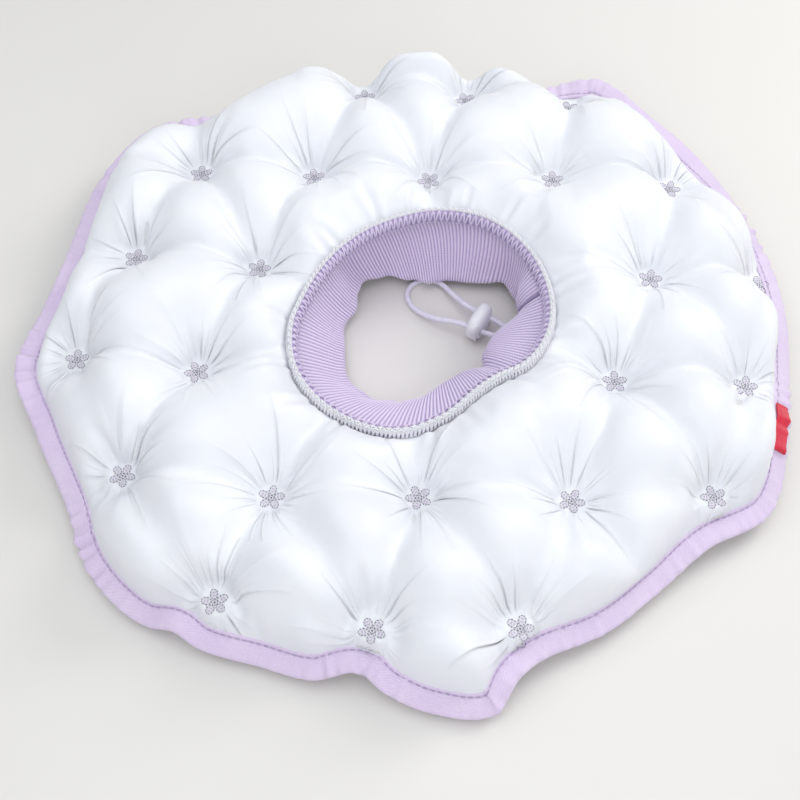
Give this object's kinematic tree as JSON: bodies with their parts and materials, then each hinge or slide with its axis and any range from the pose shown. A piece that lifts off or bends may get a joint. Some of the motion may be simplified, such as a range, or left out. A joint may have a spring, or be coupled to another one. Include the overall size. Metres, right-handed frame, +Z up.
{
  "type": "elizabethan collar",
  "caption": "Soft padded ring collar that lies round a small pet's neck, with a knitted cuff drawn in by an elastic cord and a sliding spring lock.",
  "frame": {"origin": "on the surface the collar lies on, under the middle of its outer edge", "axes": "+Z up out of the neck opening, +X to the side that carries the label and the cord lock, +Y away from the viewer"},
  "size_m": [0.326, 0.326, 0.046],
  "materials": {
    "white_taffeta": "satin",
    "polyester_fibre": "matte",
    "lavender_tape": "matte",
    "lavender_thread": "matte",
    "lavender_rib": "matte",
    "overlock_thread": "matte",
    "embroidery_thread": "satin",
    "red_ribbon": "satin",
    "elastic_cord": "matte",
    "lock_plastic": "satin",
    "spring_steel": "satin"
  },
  "bodies": {
    "collar": {"front_panel": "white_taffeta", "back_panel": "white_taffeta", "fibre_fill": "polyester_fibre", "edge_binding": "lavender_tape", "binding_stitching": "lavender_thread", "rib_cuff": "lavender_rib", "cuff_side_seam": "lavender_rib", "cuff_overlock_seam": "overlock_thread", "drawcord_in_hem": "elastic_cord", "drawcord_loop": "elastic_cord", "side_label": "red_ribbon", "tuft_01": "embroidery_thread", "tuft_02": "embroidery_thread", "tuft_03": "embroidery_thread", "tuft_04": "embroidery_thread", "tuft_05": "embroidery_thread", "tuft_06": "embroidery_thread", "tuft_07": "embroidery_thread", "tuft_08": "embroidery_thread", "tuft_09": "embroidery_thread", "tuft_10": "embroidery_thread", "tuft_11": "embroidery_thread", "tuft_12": "embroidery_thread", "tuft_13": "embroidery_thread", "tuft_14": "embroidery_thread", "tuft_15": "embroidery_thread", "tuft_16": "embroidery_thread", "tuft_17": "embroidery_thread", "tuft_18": "embroidery_thread", "tuft_19": "embroidery_thread", "tuft_20": "embroidery_thread", "tuft_21": "embroidery_thread", "tuft_22": "embroidery_thread", "tuft_23": "embroidery_thread", "tuft_24": "embroidery_thread"},
    "cord_lock": {"lock_barrel": "lock_plastic", "lock_spring": "spring_steel"},
    "lock_button": {"lock_plunger": "lock_plastic"}
  },
  "joints": [
    {"name": "cord_lock_slide", "type": "slide", "parent": "collar", "child": "cord_lock", "axis": [-0.866, 0.5, 0], "range_m": [-0.003, 0.02], "deforming": ["drawcord_loop"]},
    {"name": "lock_press", "type": "slide", "parent": "cord_lock", "child": "lock_button", "axis": [0, 0, 1], "range_m": [0, 0.002], "stiffness_N_per_m": 400, "springref_m": -0.002, "deforming": ["lock_spring"]}
  ]
}
